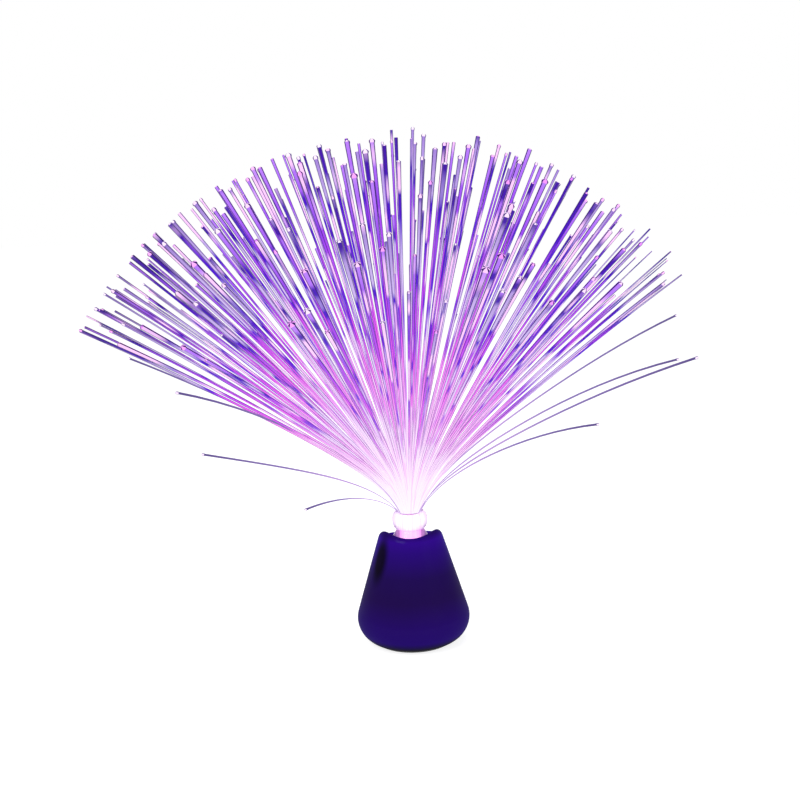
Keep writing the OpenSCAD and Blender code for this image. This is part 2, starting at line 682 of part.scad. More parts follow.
// A fibre's angle from the vertical at a distance along it, and its place by adding up steps
function lean(tip, droop, s, l) = tip * (root_share + (1 - root_share) * (1 - exp(-s / bend_l)))
    + droop * pow(s / l, 2);
steps = 24;
function run(tip, droop, l, s) = s <= 0 ? [0, 0] : let (ds = s / steps)
    [for (k = 0, p = [0, 0]; k <= steps; p = p + ds * [sin(lean(tip, droop, (k + 0.5) * ds, l)),
        cos(lean(tip, droop, (k + 0.5) * ds, l))], k = k + 1) p][steps];
root_sink = 1;
fibre_stations = [0, 0.07, 0.3, 1];
function fibre_rings(k) = let (tip = norm(tip_vector(k)), dir = tip_dir(k), l = length_at(k), droop = sag_at(k),
    root = root_r(k) * [cos(golden * k), sin(golden * k)])
    [for (s = concat([-root_sink / l], fibre_stations)) if (s != 0) let (
        p = s < 0 ? -root_sink * [sin(tip * root_share), cos(tip * root_share)] : run(tip, droop, l, s * l),
        a = lean(tip, droop, max(0, s) * l, l))
        for (j = [0 : 2]) let (b = 120 * j, u = cos(b) * fibre_d / 2, w = sin(b) * fibre_d / 2)
            [root[0] + (p[0] + u * cos(a)) * cos(dir) - w * sin(dir),
                root[1] + (p[0] + u * cos(a)) * sin(dir) + w * cos(dir),
                bundle_top + p[1] - u * sin(a)]];
module fibres(from, to) {
    rings = len(fibre_stations);
    polyhedron([for (k = [from : to - 1]) each fibre_rings(k)],
        [for (k = [from : to - 1]) each tube_faces(rings, 3, (k - from) * rings * 3)], 10);
}

module sleeve(inner, outer) {
    translate([0, 0, stem_z]) difference() {
        cylinder(r = outer, h = bundle_top - stem_z);
        if (inner > 0) translate([0, 0, -1]) cylinder(r = inner, h = bundle_top - stem_z + 2);
    }
}
module fibres_inner() {
    color("orchid") union() {
        sleeve(0, sleeve_r(1));
        fibres(0, third);
    }
}
module fibres_middle() {
    color("mediumorchid") union() {
        sleeve(sleeve_r(1), sleeve_r(2));
        fibres(third, 2 * third);
    }
}
module fibres_outer() {
    color("blueviolet") union() {
        sleeve(sleeve_r(2), bundle_d / 2);
        fibres(2 * third, fibre_count);
    }
}

base_shell();
bottom_cover();
cover_screws();
battery_door();
door_contacts();
door_springs();
battery_carrier();
battery_1();
battery_2();
battery_3();
top_contacts();
top_spring();
return_strip();
circuit_board();
board_screws();
led_lamp();
led_legs();
reflector();
resistor();
switch_body();
switch_knob();
switch_wires();
light_collar();
fibre_ferrule();
fibres_inner();
fibres_middle();
fibres_outer();
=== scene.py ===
"""A battery fibre optic table lamp, dressed around its CAD frame. Lengths are in millimetres, as in
the part's source, and become metres in new_piece and in the materials. The floor, the lights and the
camera are placed in metres."""
import math

import bpy
import numpy as np
from mathutils import Matrix, Vector

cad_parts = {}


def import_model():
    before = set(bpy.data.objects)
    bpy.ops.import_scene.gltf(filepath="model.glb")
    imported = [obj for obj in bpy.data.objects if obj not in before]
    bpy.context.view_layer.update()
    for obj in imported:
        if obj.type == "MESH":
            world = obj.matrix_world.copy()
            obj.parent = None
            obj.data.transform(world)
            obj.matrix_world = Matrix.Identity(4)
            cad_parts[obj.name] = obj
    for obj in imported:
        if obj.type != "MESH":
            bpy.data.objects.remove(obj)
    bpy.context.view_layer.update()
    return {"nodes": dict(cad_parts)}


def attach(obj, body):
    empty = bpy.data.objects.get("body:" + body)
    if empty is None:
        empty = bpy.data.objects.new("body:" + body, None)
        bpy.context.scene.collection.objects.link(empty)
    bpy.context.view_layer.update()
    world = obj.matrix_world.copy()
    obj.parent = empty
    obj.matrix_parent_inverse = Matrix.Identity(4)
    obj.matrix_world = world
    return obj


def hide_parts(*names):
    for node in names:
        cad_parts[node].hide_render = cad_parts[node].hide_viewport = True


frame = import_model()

MM = 0.001
scene = bpy.context.scene

# ------------------------------------------------------------ driving dimensions, from part.scad
base_d, base_fillet, rim_d, dish_depth = 72.6, 16.0, 38.0, 8.2
horn_h, horn_turn, horn_power, rim_fall, rim_low, rim_edge = 4.0, 20.0, 4, 5.0, 1.6, 0.2
oval, oval_power = 0.02, 0.8
wall, lip_w, lip_h, shell_foot, floor_t, edge_w = 2.0, 3.8, 3.0, 2.0, 2.0, 1.0
foot_land, inner_power = 0.6, 0.7
cover_t, cover_screw_r, board_screw_r = 3.0, 21.0, 13.2
boss_r, board_boss_r, boss_h, pilot_r = 2.8, 2.5, 10.5, 1.25
bundle_d, stem_wall, slide_gap, fit_gap, spigot_wall = 14.6, 0.5, 0.05, 0.2, 1.6
collar_h, bead_gap, bead_h, mouth_depth = 9.0, 0.2, 11.3, 0.8
stem_z, dish_z, board_top = 63.0, 66.0, 53.3
fibre_count, fibre_d, fibre_l, spread, spray_lean = 306, 0.5, 238.0, 58.0, 4.0
right_trim, left_trim, trim_vary, length_vary = 0.09, 0.03, 0.67, 0.02
bend_l, root_share, sag, gather, tuft_count, strand_gap = 25.0, 0.42, 4.0, 0.3, 64, 0.05
screw_dirs = (30, 150, 270)

ceiling_z = dish_z - floor_t
rim_z = dish_z + dish_depth
collar_top = dish_z + collar_h
bead_z = collar_top + bead_gap
mouth_z = bead_z + bead_h
bundle_top = mouth_z - mouth_depth
stem_bore_r = bundle_d / 2 + fit_gap / 2
stem_r = stem_bore_r + stem_wall
collar_bore_r = stem_r + slide_gap
spigot_r = collar_bore_r + spigot_wall
hole_r = spigot_r + fit_gap / 2

# ------------------------------------------------------------ node helpers
# Nearly all of a noise's values lie between these two
noise_low, noise_high = 0.3, 0.7
black, white = (0, 0, 0), (1, 1, 1)


class Tree:
    """The nodes of a new material or world. A node's input is given a value or a socket."""

    def __init__(self, name, world=False):
        self.owner = (bpy.data.worlds if world else bpy.data.materials).new(name)
        self.owner.use_nodes = True
        self.tree = self.owner.node_tree
        self.tree.nodes.clear()
        self.out = self.add("ShaderNodeOutputWorld" if world else "ShaderNodeOutputMaterial")

    def add(self, kind, inputs=None, **settings):
        node = self.tree.nodes.new(kind)
        for key, value in settings.items():
            setattr(node, key, value)
        for key, value in (inputs or {}).items():
            socket = node.inputs[key]
            if isinstance(value, bpy.types.NodeSocket):
                self.tree.links.new(value, socket)
            else:
                socket.default_value = (*value, 1) if socket.type == "RGBA" else value
        return node

    def surface(self, node):
        """The material or world, with a shader joined to its output."""
        self.tree.links.new(node.outputs[0], self.out.inputs[0])
        return self.owner

    def principled(self, **inputs):
        names = {key.replace("_", " "): value for key, value in inputs.items()}
        return self.surface(self.add("ShaderNodeBsdfPrincipled", names))

    def coordinates(self):
        """The object's own coordinates, in metres."""
        return self.add("ShaderNodeTexCoord").outputs["Object"]

    def axis(self, place, name):
        return self.add("ShaderNodeSeparateXYZ", {0: place}).outputs[name]

    def height(self):
        """Height above the table, in millimetres."""
        return self.maths("MULTIPLY", self.axis(self.coordinates(), "Z"), 1000)

    def maths(self, operation, a, b=0.5):
        return self.add("ShaderNodeMath", {0: a, 1: b}, operation=operation).outputs[0]

    def noise(self, per_metre, detail=3):
        """Noise of so many grains a metre."""
        return self.add("ShaderNodeTexNoise", {"Vector": self.coordinates(), "Scale": per_metre,
            "Detail": detail, "Roughness": 0.5}).outputs["Fac"]

    def ramp(self, factor, stops, ease="LINEAR"):
        """A colour ramp over (place, colour) stops."""
        node = self.add("ShaderNodeValToRGB", {"Fac": factor})
        ramp = node.color_ramp
        ramp.interpolation = ease
        while len(ramp.elements) < len(stops):
            ramp.elements.new(0.5)
        for element, (place, colour) in zip(ramp.elements, stops):
            element.position = place
            element.color = (*colour, 1)
        return node.outputs["Color"]

    def hex_ramp(self, factor, *stops):
        """A colour ramp over (place, hex triplet) stops."""
        return self.ramp(factor, [(place, linear(text)) for place, text in stops])

    def step(self, factor, low, high):
        """From 0 at low to 1 at high."""
        return self.ramp(factor, [(low, black), (high, white)])

    def grey(self, noise, low, high):
        """A noise's range carried onto low to high."""
        return self.add("ShaderNodeMapRange", {"Value": noise, "From Min": noise_low,
            "From Max": noise_high, "To Min": low, "To Max": high}).outputs[0]

    def mix(self, factor, a, b, blend="MIX"):
        node = self.add("ShaderNodeMix", data_type="RGBA", blend_type=blend)
        for index, value in ((0, factor), (6, a), (7, b)):
            if isinstance(value, bpy.types.NodeSocket):
                self.tree.links.new(value, node.inputs[index])
            else:
                node.inputs[index].default_value = value if index == 0 else (*value, 1)
        return node.outputs[2]

    def times(self, a, b):
        return self.mix(1.0, a, b, "MULTIPLY")

    def bump(self, height, strength, depth):
        return self.add("ShaderNodeBump", {"Height": height, "Strength": strength,
            "Distance": depth * MM}).outputs[0]


def linear(text):
    """The linear colour of a hex triplet."""
    parts = [int(text[i:i + 2], 16) / 255 for i in (0, 2, 4)]
    return tuple(c / 12.92 if c <= 0.04045 else ((c + 0.055) / 1.055) ** 2.4 for c in parts)


def scaled(colour, share):
    return tuple(min(1.0, c * share) for c in colour)


# ------------------------------------------------------------ materials
def plastic(name, colour, rough, specular):
    """Moulded plastic: a fine spark-eroded grain, faint clouding in the colour, uneven gloss."""
    t = Tree(name)
    less, more = 0.88, 1.12
    cloud = t.noise(60, 4)
    tone = t.ramp(cloud, [(noise_low, scaled(colour, less)), (noise_high, scaled(colour, more))])
    return t.principled(Base_Color=tone, Specular_IOR_Level=specular,
        Roughness=t.grey(t.noise(300), rough * less, rough * more),
        Normal=t.bump(t.noise(2500, 2), 0.25, 0.02))


def metal(name, colour):
    """Plated metal with fine lines drawn round it."""
    t = Tree(name)
    rough, line_scale, line_stretch = 0.28, 900, (1, 1, 30)
    drawn = t.add("ShaderNodeMapping", {"Vector": t.coordinates(), "Scale": line_stretch})
    lines = t.add("ShaderNodeTexNoise", {"Vector": drawn.outputs[0], "Scale": line_scale,
        "Detail": 3}).outputs["Fac"]
    tone = t.ramp(t.noise(160, 4), [(noise_low, scaled(colour, 0.8)), (noise_high, colour)])
    return t.principled(Base_Color=tone, Metallic=1.0,
        Roughness=t.grey(lines, rough * 0.7, rough * 1.3), Normal=t.bump(lines, 0.3, 0.01))


def shell_plastic():
    """Deep violet plastic with a faint painted glow of the light inside: more at the lip, less round
    the middle, and hardly at all at the foot and in one soft painted dark reflection on the left.
    Painted shade also darkens its colour towards the foot."""
    t = Tree("violet_shell")
    dark_reflection_x, dark_reflection_y, dark_reflection_z, dark_reflection_squash = -20.5, -14, 61, 0.3
    dark_reflection_core_cm, dark_reflection_rim_cm = 0.3, 0.85
    z = t.maths("DIVIDE", t.height(), rim_z)
    # Painted shade: the base colour darkens towards the foot, where the shell turns under
    body = t.hex_ramp(z, (0, "04010c"), (0.04, "080220"), (0.12, "12043c"), (0.5, "10052e"),
        (0.85, "14043e"), (1, "160440"))
    # Painted glow: emission set by height, strongest just under the lip and none at the foot
    glow = t.hex_ramp(z, (0, "000000"), (0.05, "06020e"), (0.12, "20026a"), (0.25, "200264"),
        (0.45, "1c0446"), (0.65, "1a0448"), (0.86, "260278"), (0.95, "300090"), (1, "16004c"))
    # Painted dark reflection: a soft dark patch on the left flank that darkens both the colour and
    # the glow
    place = t.add("ShaderNodeMapping", {"Vector": t.coordinates(), "Scale": (1, 1, dark_reflection_squash),
        "Location": (-dark_reflection_x * MM, -dark_reflection_y * MM, -dark_reflection_z * MM * dark_reflection_squash)}).outputs[0]
    away = t.add("ShaderNodeVectorMath", {0: place}, operation="LENGTH").outputs["Value"]
    away_cm = t.maths("MULTIPLY", away, 100)
    patch = t.ramp(away_cm, [(dark_reflection_core_cm, (0.16, 0.05, 0.1)), (dark_reflection_rim_cm, white)], "EASE")
    cloud = t.grey(t.noise(35, 4), 0.92, 1.1)
    return t.principled(Base_Color=t.times(t.times(body, cloud), patch),
        Roughness=0.5, Specular_IOR_Level=0.0, Coat_Weight=0.07, Coat_Roughness=0.16,
        Emission_Color=t.times(glow, patch), Emission_Strength=0.7,
        Normal=t.bump(t.noise(1800, 2), 0.12, 0.01))


def clear_plastic(name, tint, edge, glow, strength):
    """Clear plastic lit from inside, with faint flow marks, and deeper in colour where it is seen
    through more of its wall."""
    t = Tree(name)
    tint, edge, glow = linear(tint), linear(edge), linear(glow)
    between = tuple(math.sqrt(a * b) for a, b in zip(tint, edge))
    flow = t.noise(140, 3)
    facing = t.add("ShaderNodeLayerWeight", {"Blend": 0.5}).outputs["Facing"]
    depth = t.ramp(facing, [(0.2, tint), (0.45, between), (0.75, edge)])
    return t.principled(Base_Color=t.mix(t.grey(flow, 0.0, 0.25), depth, white), Roughness=0.06,
        IOR=1.2, Transmission_Weight=1.0, Emission_Color=glow, Emission_Strength=strength,
        Normal=t.bump(flow, 0.2, 0.15))


def core_glow():
    """The lit bundle in the neck: softer in the stem and white from the bead up, with fine
    upright lines between the fibres."""
    t = Tree("lit_bundle")
    line_scale, line_stretch, white_z, soft_share = 1700, (1, 1, 0.02), bead_z + 4, 0.93
    drawn = t.add("ShaderNodeMapping", {"Vector": t.coordinates(), "Scale": line_stretch})
    cells = t.add("ShaderNodeTexVoronoi", {"Vector": drawn.outputs[0], "Scale": line_scale},
        feature="F1").outputs["Distance"]
    bright = t.hex_ramp(cells, (0, "ffffff"), (0.5, "ffeeff"), (0.8, "f4c8ff"))
    soft = t.hex_ramp(cells, (0, "fff0fe"), (0.5, "fcdcf8"), (0.8, "f0c0f0"))
    risen = t.step(t.maths("DIVIDE", t.height(), white_z), soft_share, 1)
    return t.principled(Base_Color=(0.3, 0.2, 0.3), Roughness=0.3,
        Emission_Color=t.mix(risen, soft, bright), Emission_Strength=1.05)


def strand_place(t):
    """The strands' map: the share of a fibre's length, and a number of its own."""
    place = t.add("ShaderNodeUVMap", uv_map="strand").outputs[0]
    parts = t.add("ShaderNodeSeparateXYZ", {0: place}).outputs
    return parts["X"], parts["Y"]


def far_aside(t):
    """From 0 to 1 towards the left and right ends of the spray, where the fibres look grey."""
    spray_r, grey_from, grey_to = 200, 0.58, 0.88
    aside = t.maths("ABSOLUTE", t.axis(t.coordinates(), "X"))
    return t.step(t.maths("MULTIPLY", aside, 1000 / spray_r), grey_from, grey_to)


def glowing(t, colour, strength):
    return t.principled(Base_Color=t.times(colour, (0.3, 0.22, 0.34)), Roughness=0.25,
        Specular_IOR_Level=0.1, Emission_Color=colour, Emission_Strength=strength)


# Fibres whose own number is below the first have paler sides, fading out at the second
faint_share, faint_end = 0.27, 0.29


def fibre_core():
    """The lit middle of a fibre: patches of pink, violet and pale lilac that run over neighbouring
    fibres, with bright streaks of each fibre's own."""
    t = Tree("lit_fibre")
    patch_scale, own_part, streaks_along, streaks_across = 20, 0.15, 5, 90
    along, own = strand_place(t)
    pink = t.hex_ramp(along, (0, "ffffff"), (0.16, "fff6fe"), (0.26, "ffd4fa"), (0.4, "ffa0f8"),
        (0.52, "f468f0"), (0.64, "cc50ee"), (0.85, "984ae8"), (1, "bc84f8"))
    violet = t.hex_ramp(along, (0, "ffffff"), (0.16, "fff2fe"), (0.26, "fcc4f8"), (0.38, "dc88f0"),
        (0.5, "9c48e6"), (0.64, "681edc"), (0.85, "4e12c8"), (1, "42189c"))
    pale = t.hex_ramp(along, (0, "ffffff"), (0.2, "fff2fe"), (0.4, "f6e0fc"), (0.6, "e0cef4"),
        (0.85, "ccbcea"), (1, "a488d4"))
    own_shift = t.maths("MULTIPLY", t.maths("SUBTRACT", own, 0.5), own_part)
    patch = t.maths("ADD", t.noise(patch_scale, 0), own_shift)
    mixed = t.mix(t.step(patch, 0.5, 0.56), violet, pink)
    mixed = t.mix(t.step(patch, 0.38, 0.45), pale, mixed)
    mixed = t.mix(t.maths("MULTIPLY", far_aside(t), 0.5), mixed, linear("4c3c74"))
    streak_at = t.add("ShaderNodeCombineXYZ", {0: t.maths("MULTIPLY", along, streaks_along),
        1: t.maths("MULTIPLY", own, streaks_across)}).outputs[0]
    streak = t.add("ShaderNodeTexNoise", {"Vector": streak_at, "Scale": 1, "Detail": 1})
    mixed = t.mix(t.step(streak.outputs["Fac"], 0.56, 0.62), mixed, linear("ffd4fc"))
    return glowing(t, mixed, 0.8)


def fibre_edge():
    """The dim sides of a fibre, painted shade where its own light hardly leaves it. Some fibres' are
    paler.
    """
    t = Tree("fibre_edge")
    along, own = strand_place(t)
    deep = t.hex_ramp(along, (0, "ffffff"), (0.11, "f8e8f8"), (0.18, "d0a0d4"), (0.28, "9454ac"),
        (0.45, "7838a8"), (0.7, "4c1a98"), (1, "341466"))
    faint = t.hex_ramp(along, (0, "ffffff"), (0.16, "f8ecfc"), (0.35, "c4a8dc"), (0.6, "8c7ab4"),
        (1, "5e5088"))
    deep = t.mix(far_aside(t), deep, linear("1c1432"))
    return glowing(t, t.mix(t.step(own, faint_share, faint_end), faint, deep), 0.75)


def fibre_tip():
    """A fibre's melted end, the brightest place on it."""
    t = Tree("lit_tip")
    own = strand_place(t)[1]
    glow = t.hex_ramp(own, (0, "fff4ff"), (0.5, "ffdcff"), (0.8, "ffb0fc"), (1, "e890ff"))
    return glowing(t, glow, 0.85)


def spans(node):
    """The low and high corner of a CAD node, in metres."""
    solid = frame["nodes"][node]
    corners = np.array([solid.matrix_world @ Vector(c) for c in solid.bound_box])
    return corners.min(axis=0), corners.max(axis=0)


def share_along(t, node, axis):
    """The share of a node's extent along one axis, from 0 to 1."""
    low, high = spans(node)
    place = t.axis(t.coordinates(), axis)
    return t.add("ShaderNodeMapRange", {"Value": place, "From Min": low[axis],
        "From Max": high[axis]}).outputs[0]


def cell_jacket(name, node, button_up):
    """A plain cell: bare steel at both ends, a copper-coloured band towards the button, and black
    below."""
    t = Tree(name)
    share = share_along(t, node, 2)
    if not button_up:
        share = t.maths("SUBTRACT", 1.0, share)
    jacket, band, cap = 0.014, 0.68, 0.965
    steel, copper, dark = (0.7, 0.7, 0.72), (0.72, 0.36, 0.14), (0.02, 0.02, 0.024)
    bands = t.ramp(share, [(0, steel), (jacket, dark), (band, copper), (cap, steel)], "CONSTANT")
    shiny = t.ramp(share, [(0, white), (jacket, black), (band, (0.85, 0.85, 0.85)),
        (cap, white)], "CONSTANT")
    film = t.noise(120, 4)
    return t.principled(Base_Color=t.times(bands, t.grey(film, 0.9, 1.08)), Metallic=shiny,
        Roughness=t.grey(film, 0.22, 0.34), Normal=t.bump(film, 0.15, 0.02))


def banded(name, node):
    """A film resistor: a tan body with four colour bands."""
    t = Tree(name)
    low, high = spans(node)
    share = share_along(t, node, int(np.argmax(high - low)))
    tan, band_w = (0.6, 0.42, 0.22), 0.05
    stops = [(0, tan)]
    for place, colour in ((0.3, (0.35, 0.03, 0.02)), (0.42, (0.02, 0.05, 0.4)),
            (0.54, (0.25, 0.1, 0.03)), (0.66, (0.7, 0.5, 0.12))):
        stops += [(place, colour), (place + band_w, tan)]
    bands = t.ramp(share, stops, "CONSTANT")
    return t.principled(Base_Color=t.times(bands, t.grey(t.noise(900, 3), 0.88, 1.1)),
        Roughness=0.32, Normal=t.bump(t.noise(1500, 2), 0.15, 0.02))


def board_look():
    """A glass-fibre board: green varnish over copper tracks, the cloth's weave showing faintly."""
    t = Tree("green_board")
    track = t.add("ShaderNodeTexBrick", {"Vector": t.coordinates(), "Scale": 150,
        "Mortar Size": 0.012, "Brick Width": 0.9, "Row Height": 0.35,
        "Color1": (0.008, 0.11, 0.045), "Color2": (0.01, 0.13, 0.05), "Mortar": (0.06, 0.3, 0.1)})
    weave = t.noise(2600, 1)
    return t.principled(Base_Color=t.times(track.outputs["Color"], t.grey(weave, 0.85, 1.12)),
        Roughness=0.3, Coat_Weight=0.3, Coat_Roughness=0.12,
        Normal=t.bump(track.outputs["Fac"], 0.3, 0.04))


# ------------------------------------------------------------ mesh helpers
def put(name, data):
    thing = bpy.data.objects.new(name, data)
    scene.collection.objects.link(thing)
    return thing


def new_piece(name, points, faces, materials, body):
    mesh = bpy.data.meshes.new(name)
    mesh.from_pydata((np.asarray(points, float) * MM).tolist(), [], faces)
    mesh.validate()
    for material in materials:
        mesh.materials.append(material)
    mesh.polygons.foreach_set("use_smooth", [True] * len(mesh.polygons))
    piece = put(name, mesh)
    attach(piece, body)
    return piece


def crease(piece, degrees):
    """Sharp edges where faces meet at more than an angle."""
    piece.data.set_sharp_from_angle(angle=math.radians(degrees))


def ring_faces(sides, m):
    """Faces of a closed ring of sections, each a closed loop of m points."""
    faces = []
    for i in range(sides):
        here, there = i * m, (i + 1) % sides * m
        for j in range(m):
            n = (j + 1) % m
            faces.append((here + j, there + j, there + n, here + n))
    return faces


def lathe(profile, sides):
    """Points and faces of a closed profile of (radius, height) turned round the axis."""
    angle = np.arange(sides) * 2 * math.pi / sides
    points = [(r * math.cos(a), r * math.sin(a), z) for a in angle for r, z in profile]
    return points, ring_faces(sides, len(profile))


# ------------------------------------------------------------ the base shell
fillet_r = base_d / 2 - base_fillet
run_r, run_z = rim_d / 2 - fillet_r, rim_z - base_fillet
flank = math.atan2(run_z, run_r) - math.acos(base_fillet / math.hypot(run_r, run_z))
tangent_z = base_fillet * (1 + math.sin(flank))
tangent_r = fillet_r + base_fillet * math.cos(flank)
# Steps of a section: foot, flank, lip, fall to the dish, and the inside of the flank and the foot
foot_rows, flank_rows, lip_rows, fall_rows, wall_rows, inner_rows = 18, 24, 16, 5, 7, 6
shell_sides, boss_sides = 192, 24


def mean_r(z, inset=0.0):
    if z < tangent_z:
        return fillet_r + math.sqrt(max(0, (base_fillet - inset) ** 2 - (z - base_fillet) ** 2))
    return tangent_r - (z - tangent_z) * math.tan(flank) - inset / math.cos(flank)


def horn(direction):
    forward = math.radians(horn_turn)
    return (max(0, math.cos(direction - math.pi - forward)) ** horn_power
        + max(0, math.cos(direction + forward)) ** horn_power)


def rim_at(direction):
    return dish_z + rim_low + rim_fall * (1 - math.sin(direction)) / 2 + horn_h * horn(direction)


def shell_r(z, direction, inset=0.0):
    swell = oval * (max(0, z) / rim_z) ** oval_power * math.cos(2 * direction)
    return mean_r(z) * (1 + swell) - mean_r(z) + mean_r(z, inset)


def shell_section(direction):
    """One upright section from the lower edge up the outside, over the lip, across the dish and
    down the inside."""
    foot_open = mean_r(shell_foot) - edge_w
    inner_foot_r = foot_open + foot_land - fillet_r
    inner_z = base_fillet - math.sqrt((base_fillet - wall) ** 2 - inner_foot_r ** 2)
    start = math.asin((shell_foot - base_fillet) / base_fillet)
    rise = min(lip_h, rim_at(direction) - dish_z - rim_edge)
    lip_z = rim_at(direction) - rise
    rows = []
    for k in range(foot_rows):
        z = base_fillet * (1 + math.sin(start + (flank - start) * k / foot_rows))
        rows.append((shell_r(z, direction), z))
    for k in range(flank_rows + 1):
        z = tangent_z + (lip_z - tangent_z) * k / flank_rows
        rows.append((shell_r(z, direction), z))
    middle = shell_r(lip_z, direction) - lip_w / 2
    for k in range(1, lip_rows + 1):
        a = math.pi * k / lip_rows
        up = rise * math.sin(a)
        rows.append((middle + lip_w / 2 * math.cos(a) - up * math.tan(flank), lip_z + up))
    dish = shell_r(dish_z, direction) - lip_w
    low_r, low_z = rows[-1]
    for k in range(1, fall_rows + 1):
        rows.append((low_r + (dish - low_r) * k / fall_rows,
            low_z + (dish_z - low_z) * k / fall_rows))
    rows += [(hole_r, dish_z), (hole_r, ceiling_z)]
    for k in range(wall_rows + 1):
        z = ceiling_z + (tangent_z - ceiling_z) * k / wall_rows
        rows.append((shell_r(z, direction, wall), z))
    for k in range(1, inner_rows + 1):
        z = tangent_z + (inner_z - tangent_z) * (k / inner_rows) ** inner_power
        rows.append((shell_r(z, direction, wall), z))
    return rows + [(foot_open, inner_z), (foot_open, shell_foot)]


def base_shell():
    """The shell as one ring of sections, with the bosses for the cover's and the board's screws."""
    points = []
    for i in range(shell_sides):
        a = 2 * math.pi * i / shell_sides
        rows = shell_section(a)
        points += [(r * math.cos(a), r * math.sin(a), z) for r, z in rows]
    faces = ring_faces(shell_sides, len(rows))
    bosses = ((cover_screw_r, boss_r, cover_t, cover_t + boss_h),
        (board_screw_r, board_boss_r, board_top, ceiling_z + floor_t / 2))
    for direction in screw_dirs:
        turn = math.radians(direction)
        for radius, outer, bottom, top in bosses:
            profile = [(pilot_r, bottom), (outer, bottom), (outer, top), (pilot_r, top)]
            tube, skin = lathe(profile, boss_sides)
            faces += [tuple(len(points) + corner for corner in face) for face in skin]
            points += [(x + radius * math.cos(turn), y + radius * math.sin(turn), z)
                for x, y, z in tube]
    piece = new_piece("violet_shell", points, faces, [shell_plastic()], "base")
    crease(piece, 40)
    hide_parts("base_shell")


# ------------------------------------------------------------ the fibres
golden = math.radians(137.508)
# Loose fibres: number, then direction and tip angle in degrees, share of the length, and sag
strays = {292: (184, 78, 0.56, 0), 305: (176, 105, 0.27, 12), 300: (208, 54, 0.73, 20),
    297: (158, 66, 0.94, 6), 301: (352, 64, 0.55, 21), 288: (5, 60, 0.83, 20),
    293: (335, 60, 0.87, 11), 296: (25, 62, 1, 11), 299: (77, 62, 0.93, 7),
    302: (125, 63, 0.9, 6)}
third = fibre_count // 3
edge_room = fibre_d / 2 + strand_gap
root_scale = (bundle_d / 2 - 5 * edge_room) / math.sqrt(fibre_count)
path_steps = 240
# How far the numbers that make each fibre differ move on from one fibre to the next
aside_step, back_step, trim_step, length_step = 0.7549, 0.5698, 0.3247, 0.6180
growth_step, own_step = 0.4142, 0.7548776
# A strand's rings, how closely they stand at its root, where it swells, and its seen width
stations, crowding, swell_from, swell_over, seen_d = 20, 1.4, 8, 50, 1.1
# The melted bead: length, width over the strand's, free length before it, rings and their widths
bead_l, bead_swell, bead_clear = 2.2, 1.2, 1.5
bead_places, bead_widths = np.array([1, 0.72, 0.3, 0]), np.array([1, 1.05, 0.7])
# Growth to the tip, as a share of the width, and how it fades towards the spray's edges
thin_growth, wide_growth, growth_vary, stray_growth, growth_power = -0.5, 1.15, 0.6, 0.3, 4
right_edge, right_width, left_edge, left_width = 0.82, 0.3, -1.15, 0.55
# A ring's corners: wide faces in front and behind, narrow ones at the sides, and dim ones of painted
# shade between
around = np.radians([-38, 38, 78, 102, 142, 218, 258, 282])
core_slot, tip_slot, edge_slot = 0, 1, 2
# Rings of a bead and of a plain end that take the tip's look
bead_rings, plain_rings = 3, 1
# A stray has the colours of at least this share of the length all along
stray_start = 0.36


def wobble(k, step):
    """A fibre's own number between -1 and 1."""
    return 2 * ((k * step) % 1.0) - 1


def fan_vector(k, count):
    share = (k + 0.5) / count
    angle = math.degrees(math.acos(1 - share * (1 - math.cos(math.radians(spread)))))
    return np.array([math.cos(golden * k), math.sin(golden * k)]) * angle


tufts = np.array([fan_vector(k, tuft_count) for k in range(tuft_count)])


def strand_facts(k):
    """(tip vector in degrees, length, sag) of a fibre."""
    if k in strays:
        direction, tip, share, droop = strays[k]
        a = math.radians(direction)
        return np.array([math.cos(a), math.sin(a)]) * tip, fibre_l * share, droop
    v = fan_vector(k, fibre_count)
    near = tufts[np.argmin(np.linalg.norm(tufts - v, axis=1))]
    own = np.array([wobble(k, aside_step) - spray_lean, wobble(k, back_step)])
    tip = v + gather * (near - v) + own
    x = tip[0] / spread
    trim = (1 - left_trim * min(0, x) ** 2
        - right_trim * max(0, x) ** 2 * (1 + trim_vary * wobble(k, trim_step)))
    length = fibre_l * (1 + length_vary * wobble(k, length_step)) * trim
    return tip, length, sag * np.linalg.norm(tip) / spread


def strand_path(k, shares):
    """Centre points and directions of a fibre at shares of its length."""
    tip, length, droop = strand_facts(k)
    angle, turn = np.linalg.norm(tip), math.atan2(tip[1], tip[0])

    def bend(s):
        rounded = root_share + (1 - root_share) * (1 - np.exp(-s / bend_l))
        return np.radians(angle * rounded + droop * (s / length) ** 2)

    fine = np.linspace(0, length, path_steps + 1)
    mid = (fine[1:] + fine[:-1]) / 2
    step = length / path_steps
    out = np.concatenate([[0], np.cumsum(np.sin(bend(mid)) * step)])
    up = np.concatenate([[0], np.cumsum(np.cos(bend(mid)) * step)])
    s = np.array(shares) * length
    lean = bend(s)
    r = root_scale * math.sqrt(k + 0.5) + 2 * edge_room * (k // third)
    root = np.array([r * math.cos(golden * k), r * math.sin(golden * k)])
    flat = np.array([math.cos(turn), math.sin(turn)])
    reach, rise = np.interp(s, fine, out), np.interp(s, fine, up)
    centre = np.column_stack([root[0] + reach * flat[0], root[1] + reach * flat[1],
        bundle_top + rise])
    return centre, np.column_stack([np.sin(lean) * flat[0], np.sin(lean) * flat[1], np.cos(lean)])


def strand_growth(k):
    """How much a fibre widens to its tip: most in the middle of the spray, least at both edges."""
    if k in strays:
        return stray_growth
    x = strand_facts(k)[0][0] / spread
    place = max(0, min(1, (right_edge - x) / right_width, (x - left_edge) / left_width))
    varied = 1 + growth_vary * wobble(k, growth_step)
    return thin_growth + (wide_growth - thin_growth) * place * varied


